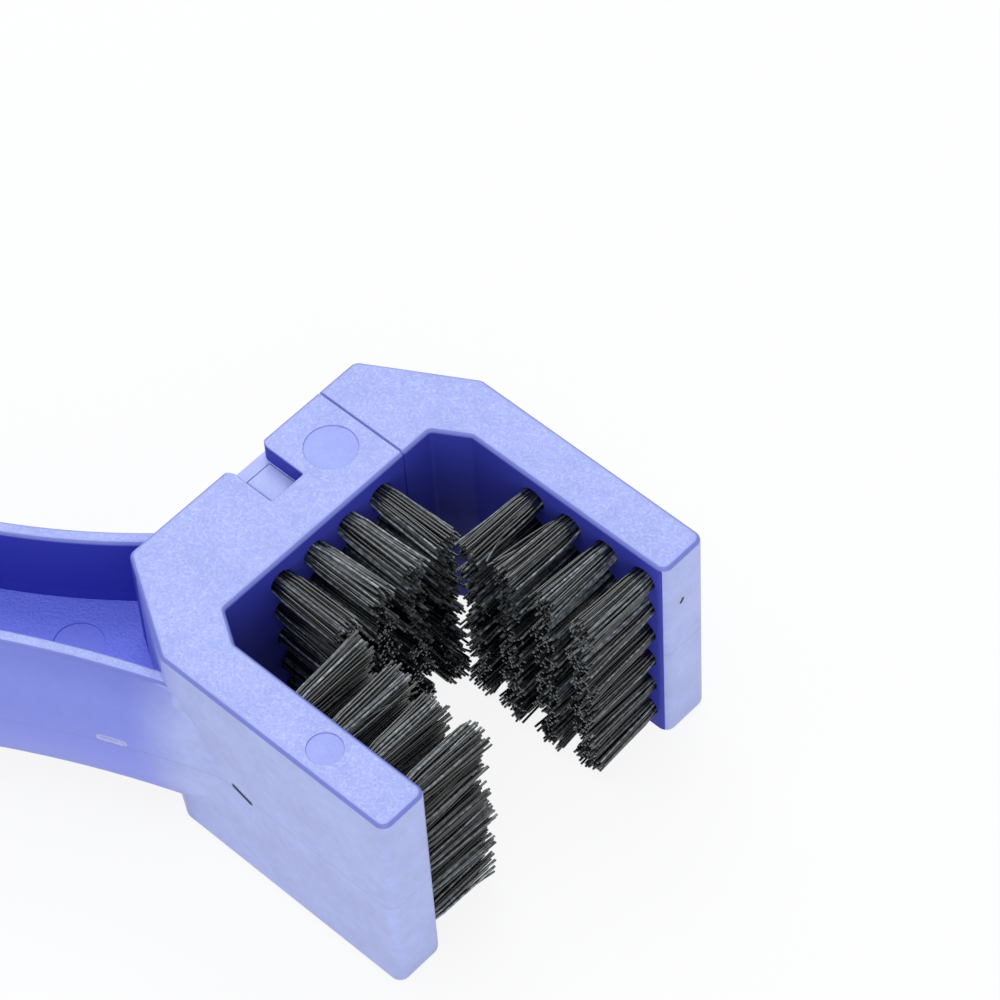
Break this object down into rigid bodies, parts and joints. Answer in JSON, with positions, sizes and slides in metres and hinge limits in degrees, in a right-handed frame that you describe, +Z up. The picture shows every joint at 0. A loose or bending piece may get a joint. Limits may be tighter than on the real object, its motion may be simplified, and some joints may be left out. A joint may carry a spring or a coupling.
{
  "type": "bike chain cleaner",
  "caption": "Hand tool that scrubs a bicycle chain: a U-shaped head with bristle tufts facing inward, a slide-off arm held by a snap latch, a ribbed grip and a tail brush.",
  "frame": {"origin": "on the head's underside, below the middle of the back wall's near half, on the handle's centre line", "axes": "+X along the handle's centre line from the tail to the head, +Z up out of the side that shows the thumb notch, +Y towards the slide-off arm's side"},
  "size_m": [0.2642, 0.0758, 0.04],
  "materials": {
    "blue_plastic": "spark-eroded moulding with smoother side faces",
    "black_nylon": "straight filaments with a grey sheen",
    "anchor_wire": "drawn flat wire"
  },
  "bodies": {
    "body": {"handle_body": "blue_plastic", "near_arm_tufts_1": "black_nylon", "near_arm_tufts_2": "black_nylon", "near_arm_tufts_3": "black_nylon", "near_arm_tufts_4": "black_nylon", "back_wall_tufts_1": "black_nylon", "back_wall_tufts_2": "black_nylon", "back_wall_tufts_3": "black_nylon", "back_wall_tufts_4": "black_nylon", "tail_tufts_1": "black_nylon", "tail_tufts_2": "black_nylon", "tail_tufts_3": "black_nylon", "tail_tufts_4": "black_nylon", "near_arm_anchors": "anchor_wire", "back_wall_anchors": "anchor_wire", "tail_anchors": "anchor_wire"},
    "arm": {"removable_arm": "blue_plastic", "far_arm_tufts_1": "black_nylon", "far_arm_tufts_2": "black_nylon", "far_arm_tufts_3": "black_nylon", "far_arm_tufts_4": "black_nylon", "far_arm_anchors": "anchor_wire"},
    "latch": {"latch_finger": "blue_plastic"}
  },
  "joints": [
    {"name": "arm_slide", "type": "slide", "parent": "body", "child": "arm", "axis": [0.5, 0.866, 0], "range_m": [0, 0.022]},
    {"name": "latch_press", "type": "hinge", "parent": "arm", "child": "latch", "pos_m": [0.01212, 0.0339, 0.0348], "axis": [-0.866, 0.5, 0], "range_deg": [-5.2, 0], "stiffness_Nm_per_rad": 0.9, "deforming": ["latch_finger"]}
  ]
}
